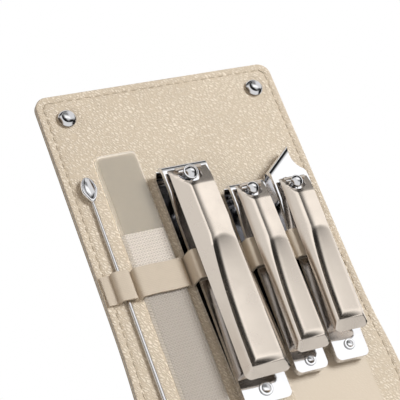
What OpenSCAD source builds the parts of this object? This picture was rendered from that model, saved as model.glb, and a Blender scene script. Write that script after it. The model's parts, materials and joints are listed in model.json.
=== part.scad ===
/* [Case] */
// Width of the case across the tools
case_w = 82; // [78:0.5:96]
// Length of the tool panel, from its free edge to the fold
panel_l = 118; // [112:1:135]
// Length of the spine strip between the two folds, which is the room inside the closed case
spine_l = 14; // [14:0.5:24]
// Angle that the shoulder takes when the case is closed
shoulder_bend = 45; // [40:1:50]
// Radius of the four free corners
corner_r = 4; // [2:0.5:8]
// Thickness of the outer leather
leather_t = 1.1; // [0.8:0.1:1.3]
// Thickness of the stiffening board
board_t = 1; // [0.6:0.1:1.4]
// Thickness of the lining above the board
lining_t = 0.9; // [0.7:0.1:1.4]
// Margin of bare leather round the board
board_inset = 5; // [3:0.5:8]
// Distance from the free edge to the end of the panel's board
board_end = 17; // [15:0.5:20]
// Gap between the flap and the panel when the case is closed
flap_gap = 0.3; // [0.2:0.1:0.4]

/* [Snaps] */
// Distance of each snap from the side edge
snap_side = 8.4; // [7.6:0.2:8.4]
// Distance of each snap from the free edge
snap_end = 8.8; // [8.5:0.1:9.2]
// Diameter of the stud's head
stud_d = 5.9; // [5.3:0.1:6]
// Height of the stud's head above the lining
stud_h = 2.2; // [1.8:0.1:2.2]
// Diameter of the stud's neck under its head
stud_neck_d = 5; // [4:0.1:5.2]
// Diameter of the shank through the leather
shank_d = 2.4; // [1.8:0.1:3]
// Outer diameter of the socket
socket_d = 9; // [8.6:0.1:10]
// Diameter of the rivet and cap discs on the outside
cap_d = 9.6; // [8.8:0.2:11]
// Thickness of those discs
cap_t = 0.6; // [0.4:0.05:0.6]
// Leather left between the caps and the flap's fold
cap_margin = 0.4; // [0.3:0.1:2]

/* [Strap] */
// Width of the elastic strap
strap_w = 9.2; // [6:0.2:14]
// Distance from the free edge to the strap's middle
strap_at = 66.4; // [64:0.2:70]
// Thickness of the strap
strap_t = 0.9; // [0.6:0.05:0.9]
// Room between the strap and a tool
strap_gap = 0.3; // [0.2:0.05:0.4]
// Length of the strap's sewn ends
strap_end = 3; // [2:0.2:4]

/* [Ear pick] */
// Place of the pick across the case, from the middle
pick_x = -34.4; // [-35:0.1:-33.8]
// Distance from the free edge to the pick's tip
pick_at = 30; // [26:0.5:34]
// Whole length of the pick
pick_l = 80; // [70:1:84]
// Diameter of the pick's rod
pick_d = 1.4; // [1:0.1:1.6]
// Width of the scoop
scoop_w = 5; // [4:0.2:5.6]
// Length of the scoop
scoop_l = 8.4; // [6:0.2:10]

/* [Nail file] */
// Place of the file across the case, from the middle
file_x = -22.4; // [-22.5:0.1:-22.3]
// Distance from the free edge to the file's end
file_at = 23.8; // [21:0.5:28]
// Length of the file
file_l = 86; // [76:1:90]
// Width of the file
file_w = 14.2; // [12:0.2:14.2]
// Thickness of the file
file_t = 1.5; // [1.2:0.1:2.4]
// Width of the ground bevel along the file's edges
file_bevel = 0.9; // [0.4:0.1:1.2]
// Radius of the file's corners
file_r = 2.2; // [1.5:0.1:5]

/* [Clippers] */
// Place of the large clipper across the case
large_x = -5.2; // [-5.3:0.1:-5]
// Place of the medium clipper across the case
medium_x = 12; // [11.9:0.1:12.1]
// Place of the slanted clipper across the case
slant_x = 26.3; // [26.2:0.1:26.6]
// Distance from the free edge to the large clipper's tail rivet
large_at = 107; // [105:0.5:109]
// Distance from the free edge to the medium clipper's tail rivet
medium_at = 102.1; // [100:0.5:105]
// Distance from the free edge to the slanted clipper's tail rivet
slant_at = 100.4; // [98:0.5:103]
// Length of the large clipper from its tail rivet to its jaw
large_reach = 73.6; // [70:0.5:76]
// Length of the medium clipper from its tail rivet to its jaw
medium_reach = 59.1; // [57:0.5:62]
// Length of the slanted clipper from its tail rivet to its jaw's short side
slant_reach = 59.2; // [57:0.5:62]
// Width of the large clipper
large_w = 15; // [14:0.1:15.2]
// Width of the medium clipper
medium_w = 11.8; // [11:0.1:12]
// Width of the slanted clipper
slant_w = 12.4; // [11.6:0.1:12.6]
// Height of the large clipper's jaws
large_h = 8; // [7.6:0.1:8.2]
// Height of the smaller clippers' jaws
small_h = 7; // [6.8:0.1:7.4]
// Thickness of the large clipper's arms
large_arm_t = 1.5; // [1.2:0.1:1.6]
// Thickness of the smaller clippers' arms
small_arm_t = 1.3; // [1.1:0.1:1.4]
// Opening between the cutting edges
jaw_gap = 1.1; // [0.6:0.1:1.4]
// How far the slanted blade rises across its width
slant_rise = 7.8; // [6:0.2:8.4]
// Place of the slanted blade's point, from the clipper's middle
slant_tip = 3.4; // [2.6:0.1:4]
// Lean of the medium clipper
medium_lean = 1; // [0:0.1:1.2]
// Lean of the slanted clipper
slant_lean = 2; // [0:0.1:2.2]
// Radius of the tail's corners
tail_r = 1.8; // [1:0.1:2.4]

/* [Levers] */
// Height of a lever from its rim to its back
lever_h = 2.9; // [2.6:0.1:3.1]
// Width that the lever loses at its front end
lever_taper = 1.6; // [0.6:0.1:2]
// Height of the lever's upright rim
rim_h = 1.1; // [0.8:0.1:1.3]
// Thickness of the pressed sheet
sheet_t = 0.8; // [0.6:0.05:0.9]
// Depth of the thumb rest
thumb_depth = 0.6; // [0.3:0.05:0.7]
// Width of the rounded step round the thumb rest
thumb_step = 1.5; // [1:0.1:2]
// Depth of the crease in front of the thumb rest
crease_depth = 0.45; // [0.2:0.05:0.6]
// Length of the sloped end under the thumb rest
end_slope = 3.2; // [2.4:0.1:4]
// Radius of the bar that the lever turns on
bar_r = 0.5; // [0.4:0.05:0.55]
// Gap between moving metal pieces
run_gap = 0.1; // [0.06:0.01:0.12]

/* [Hidden] */
$fn = 48;
LARGE = 0;
MEDIUM = 1;
SLANT = 2;
// The stack of leather, board and lining
stack_t = leather_t + board_t + lining_t;
under_lining = lining_t + board_t;
// The shoulder is as long as the drop from the cover to the panel needs
shoulder_drop = spine_l - flap_gap - stack_t * (1 - cos(shoulder_bend));
shoulder_l = shoulder_drop / sin(shoulder_bend);
shoulder_run = shoulder_l * cos(shoulder_bend) + stack_t * sin(shoulder_bend);
// The closed flap ends flush with the panel, so the cover takes what the flap leaves
flap_l = snap_end + cap_d / 2 + cap_margin;
cover_l = panel_l - flap_l - shoulder_run;
case_l = panel_l + spine_l + cover_l + shoulder_l + flap_l;
top_y = case_l / 2;
fold_y = top_y - panel_l;
cover_y = fold_y - spine_l;
shoulder_y = cover_y - cover_l;
flap_y = shoulder_y - shoulder_l;
end_y = -case_l / 2;
snap_x = case_w / 2 - snap_side;
stud_y = top_y - snap_end;
socket_y = flap_y - (flap_l - snap_end);
socket_room = 0.35;
fold_gap = 0.02;
stud_under = 0.7;
stud_dome = 0.62;
loop_r = 1.6;
// The pick lies a little above the lining, and its scoop a little above its rod
pick_rise = 0.2;
scoop_rise = 0.7;
scoop_deep = 1.5;
scoop_cut = 0.7;
scoop_wall = 0.45;
file_rest = 0.05;
file_land = 0.45;
// Each clipper's own sizes, by its index
clip_x = [large_x, medium_x, slant_x];
clip_at = [large_at, medium_at, slant_at];
reach = [large_reach, medium_reach, slant_reach];
clip_w = [large_w, medium_w, slant_w];
tail_w = [large_w, medium_w - 1.2, slant_w - 1.4];
jaw_h = [large_h, small_h, small_h];
arm_t = [large_arm_t, small_arm_t, small_arm_t];
lean = [0, medium_lean, slant_lean];
tail_over = [4, 3.1, 4.4];
tail_lift = [1.5, 1.3, 1.3];
post_back = [5.2, 4.1, 6.6];
neck_r = [1.4, 1.1, 1.1];
head_over = [0.95, 0.85, 0.85];
rivet_r = [2.1, 1.7, 1.7];
rivet_bore_r = [1.6, 1.25, 1.25];
lever_from = [2.2, 1.6, 2.9];
lever_w = [large_w - 0.4, medium_w - 0.6, slant_w - 1];
arch_at = [0.66, 0.665, 0.665];
rim_gap = 0.3;
// The arms: where the tail widens, where the waist ends, and how the jaws turn
tail_run = 10;
waist_back = 12;
jaw_turn = 0.9;
jaw_edge = 0.3;
jaw_grind = 1.4;
press_back = 13;
press_front = 4;
press_drop = 1.6;
belly_at = 0.42;
slant_behind = 3.4;
slant_lap = 1;
// Flanges of the rivets and posts, and the room round them
flange_w = 0.4;
foot_w = 0.8;
foot_t = 0.6;
post_room = 0.5;
hole_room = 0.25;
hole_wide = 1.5;
hole_ahead = 0.1;
head_dome = 2.4;
// The lever's lines across its width, as shares of it
crease_tail = 0.33;
crease_front = 0.12;
ridge_tail = 0.16;
ridge_front = 0.1;
crease_w = 1.9;
right_rim = 0.6;
ramp = 0.36;
arch_curve = 0.16;
touch_l = 3;
// Reach of the cutting shapes, well past a clipper's sides
far = 30;

function arc(cy, cz, r, a0, a1, n = 8) =
    [for (i = [0:n]) [cy + r * cos(a0 + (a1 - a0) * i / n), cz + r * sin(a0 + (a1 - a0) * i / n)]];
function step(t) = let(c = min(max(t, 0), 1)) c * c * (3 - 2 * c);
function post_y(i) = reach[i] - post_back[i];
function rim_z(i) = jaw_h[i] + rim_gap;
function axis_z(i) = rim_z(i) + 1.3;
function axis_y(i) = post_y(i) + neck_r[i] + bar_r + run_gap;
function head_r(i) = neck_r[i] + head_over[i];
function head_z(i) = axis_z(i) + bar_r + run_gap;
function head_top(i) = head_z(i) + 1.9;

// An outline in Y and Z, drawn out across X
module across(w) {
    rotate([90, 0, 90]) linear_extrude(height = w, center = true) children();
}

module rounded_end(w, y0, y1, r) {
    // a strip from y0 to y1 whose end at y1 has round corners
    s = sign(y1 - y0);
    translate([-w / 2, min(y0, y1 - s * r)]) square([w, abs(y1 - y0) - r]);
    translate([-w / 2 + r, min(y1 - s * r, y1)]) square([w - 2 * r, r]);
    for (x = [-1, 1]) translate([x * (w / 2 - r), y1 - s * r]) circle(r);
}

// A strip right across the case, a hair short of its folds so that it turns freely
module slab(y0, y1, z0, z1) {
    translate([-case_w / 2, y0 + fold_gap, z0]) cube([case_w, y1 - y0 - 2 * fold_gap, z1 - z0]);
}

module at_snaps(y) {
    for (x = [-1, 1]) translate([x * snap_x, y, 0]) children();
}

module board_plate(y0, y1, grow = 0) {
    translate([-case_w / 2 + board_inset - grow, y0 - grow, leather_t])
        cube([case_w - 2 * board_inset + 2 * grow, y1 - y0 + 2 * grow, board_t]);
}

module outer_leather_base() {
    color("#d9cdb6") difference() {
        linear_extrude(leather_t) rounded_end(case_w, fold_y, top_y, corner_r);
        at_snaps(stud_y) {
            translate([0, 0, -1]) cylinder(d = cap_d, h = cap_t + 1);
            cylinder(d = shank_d, h = leather_t + 1);
        }
    }
}

module base_board_place(grow = 0) {
    board_plate(fold_y + board_inset, top_y - board_end, grow);
}

module board_base() {
    color("#8d8577") base_board_place();
}

module lining_base() {
    color("#dccfb8") difference() {
        translate([0, 0, leather_t]) linear_extrude(under_lining)
            rounded_end(case_w, fold_y, top_y, corner_r);
        base_board_place();
        at_snaps(stud_y) cylinder(d = shank_d, h = stack_t + 1);
    }
}

module snap_studs() {
    color("#c9c9cc") at_snaps(stud_y) rotate_extrude() {
        square([shank_d / 2, stack_t]);
        translate([0, stack_t]) square([stud_neck_d / 2, stud_h / 2]);
        translate([0, stack_t + stud_under]) intersection() {
            square([stud_d / 2, stud_h - stud_under]);
            translate([0, stud_h - stud_under - stud_d * stud_dome]) circle(stud_d * stud_dome, $fn = 96);
        }
    }
}

module stud_rivets() {
    color("#b9b9bc") at_snaps(stud_y) difference() {
        cylinder(d = cap_d, h = cap_t);
        translate([0, 0, cap_t / 2]) cylinder(d = shank_d, h = cap_t);
    }
}

// One loop of the strap: a bridge over a tool, from x0 to x1 and h high inside
module strap_loop(x0, x1, h) {
    r = min(loop_r, h / 2 + strap_t);
    difference() {
        union() {
            translate([x0 - strap_t, 0]) square([x1 - x0 + 2 * strap_t, h + strap_t - r]);
            translate([x0 - strap_t + r, 0]) square([x1 - x0 + 2 * strap_t - 2 * r, h + strap_t]);
            for (x = [x0 - strap_t + r, x1 + strap_t - r]) translate([x, h + strap_t - r]) circle(r);
        }
        translate([x0, -1]) square([x1 - x0, h + 1]);
    }
}

module strap_outline() {
    strap_loop(pick_x - pick_lane, pick_x + pick_lane, pick_top + strap_gap);
    strap_loop(file_x - file_w / 2 - strap_gap, file_x + file_w / 2 + strap_gap, file_t + 2 * strap_gap);
    for (i = [LARGE, MEDIUM, SLANT]) strap_loop(lane(i) - lane_w(i), lane(i) + lane_w(i), strap_under(i));
    translate([pick_x - pick_lane - strap_t - strap_end, 0]) square([strap_end + strap_t, strap_t]);
    translate([lane(SLANT) + lane_w(SLANT), 0]) square([strap_end + strap_t, strap_t]);
    for (s = seams) translate([s[0], 0]) square([s[1] - s[0], strap_t]);
}

pick_lane = scoop_w / 2 - 0.5;
pick_top = pick_d + 2 * pick_rise;
strap_y = top_y - strap_at;
function lane(i) = clip_x[i] + sin(lean[i]) * (strap_y - (top_y - clip_at[i]));
function lane_w(i) = clip_w[i] / 2 + strap_gap + sin(lean[i]) * strap_w / 2;
function strap_under(i) = jaw_h[i] - strap_t - 0.15;
seams = [
    [pick_x + pick_lane, file_x - file_w / 2 - strap_gap],
    [file_x + file_w / 2 + strap_gap, lane(LARGE) - lane_w(LARGE)],
    [lane(LARGE) + lane_w(LARGE), lane(MEDIUM) - lane_w(MEDIUM)],
    [lane(MEDIUM) + lane_w(MEDIUM), lane(SLANT) - lane_w(SLANT)]];

module elastic_strap() {
    color("#cfc2aa") translate([0, strap_y + strap_w / 2, stack_t]) rotate([90, 0, 0])
        linear_extrude(strap_w) strap_outline();
}

module outer_leather_spine() {
    color("#d9cdb6") slab(cover_y, fold_y, 0, leather_t);
}

module lining_spine() {
    color("#dccfb8") slab(cover_y, fold_y, leather_t, stack_t);
}

module cover_board_place() {
    board_plate(shoulder_y + board_inset, cover_y - board_inset);
}

module outer_leather_cover() {
    color("#d9cdb6") slab(shoulder_y, cover_y, 0, leather_t);
}

module board_cover() {
    color("#8d8577") cover_board_place();
}

module lining_cover() {
    color("#dccfb8") difference() {
        slab(shoulder_y, cover_y, leather_t, stack_t);
        cover_board_place();
    }
}

module outer_leather_shoulder() {
    color("#d9cdb6") slab(flap_y, shoulder_y, 0, leather_t);
}

module lining_shoulder() {
    color("#dccfb8") slab(flap_y, shoulder_y, leather_t, stack_t);
}

module outer_leather_flap() {
    color("#d9cdb6") difference() {
        linear_extrude(leather_t) rounded_end(case_w, flap_y, end_y, corner_r);
        at_snaps(socket_y) {
            translate([0, 0, -1]) cylinder(d = cap_d, h = cap_t + 1);
            cylinder(d = socket_d, h = leather_t + 1);
        }
    }
}

module lining_flap() {
    color("#dccfb8") difference() {
        translate([0, 0, leather_t]) linear_extrude(under_lining)
            rounded_end(case_w, flap_y, end_y, corner_r);
        at_snaps(socket_y) cylinder(d = socket_d, h = stack_t + 1);
    }
}

module snap_sockets() {
    color("#b9b9bc") at_snaps(socket_y) difference() {
        translate([0, 0, cap_t]) cylinder(d = socket_d, h = stack_t - cap_t);
        translate([0, 0, stack_t - stud_h + flap_gap - 0.2])
            cylinder(r = stud_d / 2 + socket_room, h = stud_h + 1);
    }
}

module snap_caps() {
    color("#c9c9cc") at_snaps(socket_y) cylinder(d = cap_d, h = cap_t);
}

module ear_pick() {
    tip_y = top_y - pick_at;
    rod_z = stack_t + pick_d / 2 + pick_rise;
    neck_y = tip_y - scoop_l;
    color("#c9c9cc") {
        translate([pick_x, tip_y - pick_l + pick_d / 2, rod_z]) {
            rotate([-90, 0, 0]) cylinder(d = pick_d, h = pick_l - scoop_l + 1 - pick_d / 2);
            sphere(d = pick_d);
        }
        translate([pick_x, neck_y + scoop_l / 2, rod_z + scoop_rise]) difference() {
            scale([scoop_w / 2, scoop_l / 2, scoop_deep]) sphere(1, $fn = 28);
            translate([0, 0.3, scoop_deep / 2])
                scale([scoop_w / 2 - scoop_wall, scoop_l / 2 - scoop_wall, scoop_deep]) sphere(1, $fn = 28);
            translate([-scoop_w, -scoop_l, scoop_cut]) cube([2 * scoop_w, 2 * scoop_l, scoop_deep]);
        }
    }
}

module file_plan() {
    for (s = [-1, 1]) for (e = [0, 1])
        translate([s * (file_w / 2 - file_r), e ? file_l - file_r : file_r]) circle(file_r);
    translate([-file_w / 2, file_r]) square([file_w, file_l - 2 * file_r]);
    translate([-file_w / 2 + file_r, 0]) square([file_w - 2 * file_r, file_l]);
}

module nail_file() {
    edge = file_t * file_land;
    color("#b8a99a") translate([file_x, top_y - file_at - file_l, stack_t + file_rest]) intersection() {
        linear_extrude(file_t) file_plan();
        rotate([90, 0, 180]) linear_extrude(height = 3 * file_l, center = true) polygon([
            [-file_w / 2, 0], [file_w / 2, 0], [file_w / 2, edge],
            [file_w / 2 - file_bevel, file_t], [-file_w / 2 + file_bevel, file_t], [-file_w / 2, edge]]);
    }
}

// Everything of one clipper stands in this frame: its tail rivet on the panel, +Y to the jaw
module at_clipper(i) {
    translate([clip_x[i], top_y - clip_at[i], stack_t]) rotate([0, 0, -lean[i]]) children();
}

// Plan of the arms: narrower at the tail, cut hollow or on a slant at the jaw
module arm_plan(i) {
    w = clip_w[i] / 2;
    t = tail_w[i] / 2;
    o = tail_over[i];
    r = tail_r;
    j = reach[i];
    b = post_y(i) - waist_back;
    shank = [[w, j - 4], [w, b], [t, tail_run], [t, -o], [-t, -o], [-t, tail_run], [-w, b]];
    difference() {
        if (i == SLANT) polygon(concat(shank, [[-w, j], [slant_tip, j + slant_rise],
            [slant_tip + 1.2, j], [w - 0.8, j - 1.2], [w - 0.2, j - 2.6]]));
        else polygon(concat(shank, [[-w, j], [w, j]]));
        for (s = [-1, 1]) translate([s * (t - r), r - o]) difference() {
            translate([s > 0 ? 0 : -r - 1, -r - 1]) square(r + 1);
            circle(r);
        }
        if (i == SLANT) translate([slant_tip + slant_back_r - 1, j + slant_rise / 2]) circle(slant_back_r);
        else translate([0, j + hollow_r(i) - jaw_hollow]) circle(hollow_r(i), $fn = 180);
    }
}

function hollow_r(i) = clip_w[i] * clip_w[i] / 8 / jaw_hollow;
jaw_hollow = 0.45;
slant_back_r = 6.5;

// Side outline of the lower arm: raised tail, flat belly, jaw turned up to its edge
function lower_side(i, j) = let(t = arm_t[i], a = tail_lift[i], e = (jaw_h[i] - jaw_gap) / 2,
        r = t + jaw_turn)
    concat([[-20, a], [touch_l, a], [reach[i] * belly_at, 0]],
        arc(j - r, r, r, 270, 360),
        [[j, e], [j - jaw_edge, e], [j - t, e - jaw_grind]],
        arc(j - r, r, r - t, 360, 270),
        [[reach[i] * belly_at, t], [touch_l, a + t], [-20, a + t]]);

// Side outline of the upper arm: it rises to the jaws' height behind the post
function upper_side(i, j) = let(t = arm_t[i], a = tail_lift[i] + t, h = jaw_h[i],
        e = (h + jaw_gap) / 2, r = t + jaw_turn, b = post_y(i) - press_back, f = post_y(i) - press_front)
    concat([[-20, a], [touch_l, a], [b, h - press_drop - t], [f, h - t]],
        arc(j - r, h - r, r - t, 90, 0),
        [[j - t, e + jaw_grind], [j - jaw_edge, e], [j, e]],
        arc(j - r, h - r, r, 0, 90),
        [[f, h], [b, h - press_drop], [touch_l, a + t], [-20, a + t]]);

module arm_body(i, upper) {
    intersection() {
        translate([0, 0, -1]) linear_extrude(jaw_h[i] + 2) arm_plan(i);
        if (i == SLANT) slant_side(i, upper);
        else across(40) polygon(upper ? upper_side(i, reach[i]) : lower_side(i, reach[i]));
    }
}

// The slanted jaw's wall follows its blade, so its outline is drawn out along the blade
module slant_side(i, upper) {
    w = clip_w[i] / 2;
    blade = atan2(slant_rise, w + slant_tip);
    front = reach[i] - slant_behind;
    intersection() {
        across(2 * far) polygon(upper ? upper_side(i, reach[i] + far) : lower_side(i, reach[i] + far));
        linear_extrude(height = 2 * far, center = true) polygon([[-2 * w, -20], [2 * w, -20],
            [2 * w, front + tan(blade) * 3 * w], [-2 * w, front - tan(blade) * w]]);
    }
    translate([-w, reach[i], upper ? jaw_h[i] : 0]) rotate([0, 0, blade])
        mirror([0, 0, upper ? 1 : 0]) intersection() {
            across(2 * far) polygon(blade_side(i));
            translate([-far, -(slant_behind + slant_lap) * cos(blade), -1])
                cube([2 * far, far, jaw_h[i] + 2]);
        }
}

// Side outline of the lower jaw's wall along the slanted blade; the upper one is its mirror image
function blade_side(i) = let(t = arm_t[i], e = (jaw_h[i] - jaw_gap) / 2, r = t + jaw_turn)
    concat([[-20, 0]], arc(-r, r, r, 270, 360), [[0, e], [-jaw_edge, e], [-t, e - jaw_grind]],
        arc(-r, r, r - t, 360, 270), [[-20, t]]);

module lower_arm(i) {
    color("#c4c4c6") at_clipper(i) difference() {
        arm_body(i, false);
        translate([0, post_y(i), -1]) cylinder(r = neck_r[i], h = 4);
        translate([0, post_y(i), -1]) cylinder(r = neck_r[i] + foot_w, h = 1 + foot_t);
        translate([0, 0, -1]) cylinder(r = rivet_r[i] - flange_w, h = 12);
        translate([0, 0, tail_lift[i] - 1]) cylinder(r = rivet_r[i], h = 1 + flange_w);
    }
}

module upper_arm(i) {
    color("#cfcfd1") at_clipper(i) difference() {
        arm_body(i, true);
        translate([0, post_y(i), 0]) cylinder(r = neck_r[i] + post_room, h = 20);
        cylinder(r = rivet_r[i] - flange_w + run_gap, h = 20);
    }
}

module tail_rivet(i) {
    a = tail_lift[i];
    t = arm_t[i];
    color("#b0b0b3") at_clipper(i) difference() {
        union() {
            translate([0, 0, a]) cylinder(r = rivet_r[i] - flange_w, h = 2 * t + flange_w);
            translate([0, 0, a]) cylinder(r = rivet_r[i], h = flange_w);
            translate([0, 0, a + 2 * t + run_gap]) cylinder(r = rivet_r[i], h = flange_w);
        }
        cylinder(r = rivet_bore_r[i] - 0.2, h = 20);
    }
}

module post(i) {
    top = head_top(i);
    r = head_r(i);
    color("#c9c9cc") at_clipper(i) translate([0, post_y(i), 0]) rotate_extrude() {
        square([neck_r[i] + foot_w, foot_t]);
        square([neck_r[i], top - 1]);
        translate([0, head_z(i)]) square([r, 0.8]);
        intersection() {
            translate([0, head_z(i)]) square([r, top - head_z(i)]);
            translate([0, top - head_dome]) circle(head_dome, $fn = 96);
        }
    }
}

// The crease runs left of the middle, then swings out to the edge of the thumb rest
function crease(i, v, w) = let(t = min(max((v - lever_from[i]) / (arch_y(i) - lever_from[i]), 0), 1))
    -crease_tail * w + (crease_tail - crease_front) * w * pow(t, 2.6);
function right_ridge(i, v, w) =
    w / 2 - w * (ridge_tail - (ridge_tail - ridge_front) * step((v - arch_y(i)) / 6));
function arch_y(i) = lever_from[i] + (axis_y(i) - lever_from[i]) * arch_at[i];
function flat_half(i, v) =
    lever_w[i] / 2 - lever_taper / 2 * (v - lever_from[i]) / (axis_y(i) - lever_from[i]);
function half_width(i, v) = let(c = max(tail_r - v + lever_from[i], 0))
    flat_half(i, v) - tail_r + sqrt(tail_r * tail_r - c * c);

// Height of the pressed back at a column u and a row v
function back_z(i, u, v) = let(w = lever_w[i], h = flat_half(i, v), c = crease(i, v, w),
        r = right_ridge(i, v, w),
        left = rim_h + (lever_h - rim_h) * (u + h) / (c + h),
        right = rim_h + right_rim + (lever_h - rim_h - right_rim) * (h - u) / (h - r),
        tail = rim_h + (lever_h - rim_h) * (v - lever_from[i]) / end_slope,
        front = lever_h - ramp * (v - post_y(i) + head_r(i) + 0.9),
        inside = min(u - c, r - u, v - lever_from[i] - end_slope,
            arch_y(i) - v - arch_curve * pow(u - (c + r) / 2, 2)),
        pan = thumb_depth * step(inside / thumb_step),
        past = step((v - arch_y(i) + 3) / 3),
        groove = crease_depth * past * step((u - c) / 0.8) * step((c + crease_w - u) / 1.1))
    min(left, right, tail, front, lever_h) - (v < post_y(i) - head_r(i) - 1 ? pan + groove : 0);

// Columns follow the crease and the ridges, rows follow the ends and the arch
function columns(i, v) = let(w = lever_w[i], h = flat_half(i, v), c = crease(i, v, w),
        r = right_ridge(i, v, w), m = c + crease_w, q = r - thumb_step)
    [for (u = [-h, (c - h) / 2, c, c + 0.3, c + 0.6, c + 0.95, c + 1.4, m,
        m * 0.6 + q * 0.4, m * 0.2 + q * 0.8, r - 1.1, r - 0.7, r - 0.35, r, (r + h) / 2, h])
        u * half_width(i, v) / h];
function rows(i) = let(a = lever_from[i], e = a + end_slope, g = arch_y(i), p = post_y(i) - head_r(i) - 0.9,
        f = axis_y(i) + 0.4)
    concat([a, a + tail_r * 0.15, a + tail_r * 0.5, a + tail_r, e, e + 0.35, e + 0.7, e + 1.1, e + 1.6],
        [for (k = [1:7]) e + 1.6 + (g - 6 - e - 1.6) * k / 7],
        [for (k = [1:8]) g - 6 + 6.8 * k / 8],
        [g + 3, p - 4, p, p + 1.5, p + 3, f]);

module lever_shell(i) {
    vs = rows(i);
    n = len(vs);
    m = len(columns(i, vs[0]));
    top = [for (v = vs) for (u = columns(i, v)) [u, v, back_z(i, u, v)]];
    rim = concat([for (v = vs) [columns(i, v)[0], v, 0]], [for (v = vs) [columns(i, v)[m - 1], v, 0]]);
    k = n * m;
    translate([0, 0, rim_z(i)]) polyhedron(concat(top, rim), concat(
        [for (a = [0:n - 2]) for (b = [0:m - 2])
            [a * m + b, (a + 1) * m + b, (a + 1) * m + b + 1, a * m + b + 1]],
        [for (a = [0:n - 2]) [a * m, k + a, k + a + 1, (a + 1) * m]],
        [for (a = [0:n - 2]) [(a + 1) * m + m - 1, k + n + a + 1, k + n + a, a * m + m - 1]],
        [[for (b = [0:m - 1]) b, k + n, k],
            concat([for (b = [m - 1:-1:0]) (n - 1) * m + b], [k + n - 1, k + 2 * n - 1]),
            concat([for (a = [0:n - 1]) k + n + a], [for (a = [n - 1:-1:0]) k + a])]));
}

// A pressed shell, hollow below, with a hole over the post and a bar across it
module lever(i) {
    w = half_width(i, axis_y(i));
    c = crease(i, axis_y(i), lever_w[i]);
    inner = lever_h - thumb_depth - sheet_t;
    hole = head_r(i) + hole_room;
    half_slot = hole * hole_wide;
    back = norm([axis_y(i) - post_y(i) + head_r(i), head_top(i) - axis_z(i) - 0.6]) + 0.2
        - (axis_y(i) - post_y(i)) - hole;
    color("#d8cdbf") at_clipper(i) {
        // The rim of the pressed shell is set to the lever's width
        resize([lever_w[i], 0, 0]) difference() {
            lever_shell(i);
            translate([0, lever_from[i] + sheet_t + 0.9, rim_z(i)])
                rotate([90, 0, 180]) mirror([1, 0])
                    linear_extrude(axis_y(i) - lever_from[i] - sheet_t - 3) polygon([
                        [-w + sheet_t, -1], [w - sheet_t, -1], [w - sheet_t, rim_h - 0.3],
                        [w - sheet_t - 1.4, inner], [c, inner], [-w + sheet_t, rim_h - 0.75]]);
            for (d = [hole_ahead, -back]) translate([0, post_y(i) + d, 0])
                scale([hole_wide, 1, 1]) cylinder(r = hole, h = far);
            translate([-half_slot * 0.98, post_y(i) - back, 0]) cube([2 * half_slot * 0.98, back, far]);
        }
        translate([-half_slot - 0.4, axis_y(i), axis_z(i)]) rotate([0, 90, 0])
            cylinder(r = bar_r, h = 2 * half_slot + 0.8);
    }
}

module large_lower_arm() { lower_arm(LARGE); }
module large_upper_arm() { upper_arm(LARGE); }
module large_tail_rivet() { tail_rivet(LARGE); }
module large_post() { post(LARGE); }
module large_lever() { lever(LARGE); }
module medium_lower_arm() { lower_arm(MEDIUM); }
module medium_upper_arm() { upper_arm(MEDIUM); }
module medium_tail_rivet() { tail_rivet(MEDIUM); }
module medium_post() { post(MEDIUM); }
module medium_lever() { lever(MEDIUM); }
module slant_lower_arm() { lower_arm(SLANT); }
module slant_upper_arm() { upper_arm(SLANT); }
module slant_tail_rivet() { tail_rivet(SLANT); }
module slant_post() { post(SLANT); }
module slant_lever() { lever(SLANT); }

outer_leather_base();
board_base();
lining_base();
snap_studs();
stud_rivets();
elastic_strap();
outer_leather_spine();
lining_spine();
outer_leather_cover();
board_cover();
lining_cover();
outer_leather_shoulder();
lining_shoulder();
outer_leather_flap();
lining_flap();
snap_sockets();
snap_caps();
ear_pick();
nail_file();
large_lower_arm();
large_upper_arm();
large_tail_rivet();
large_post();
large_lever();
medium_lower_arm();
medium_upper_arm();
medium_tail_rivet();
medium_post();
medium_lever();
slant_lower_arm();
slant_upper_arm();
slant_tail_rivet();
slant_post();
slant_lever();
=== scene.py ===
"""Looks of a fold-over manicure set: leather, stitching, strap, glass file and plated clippers."""
import json
import math
import random
from contextlib import contextmanager

import bpy
from mathutils import Matrix, Vector, noise

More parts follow.
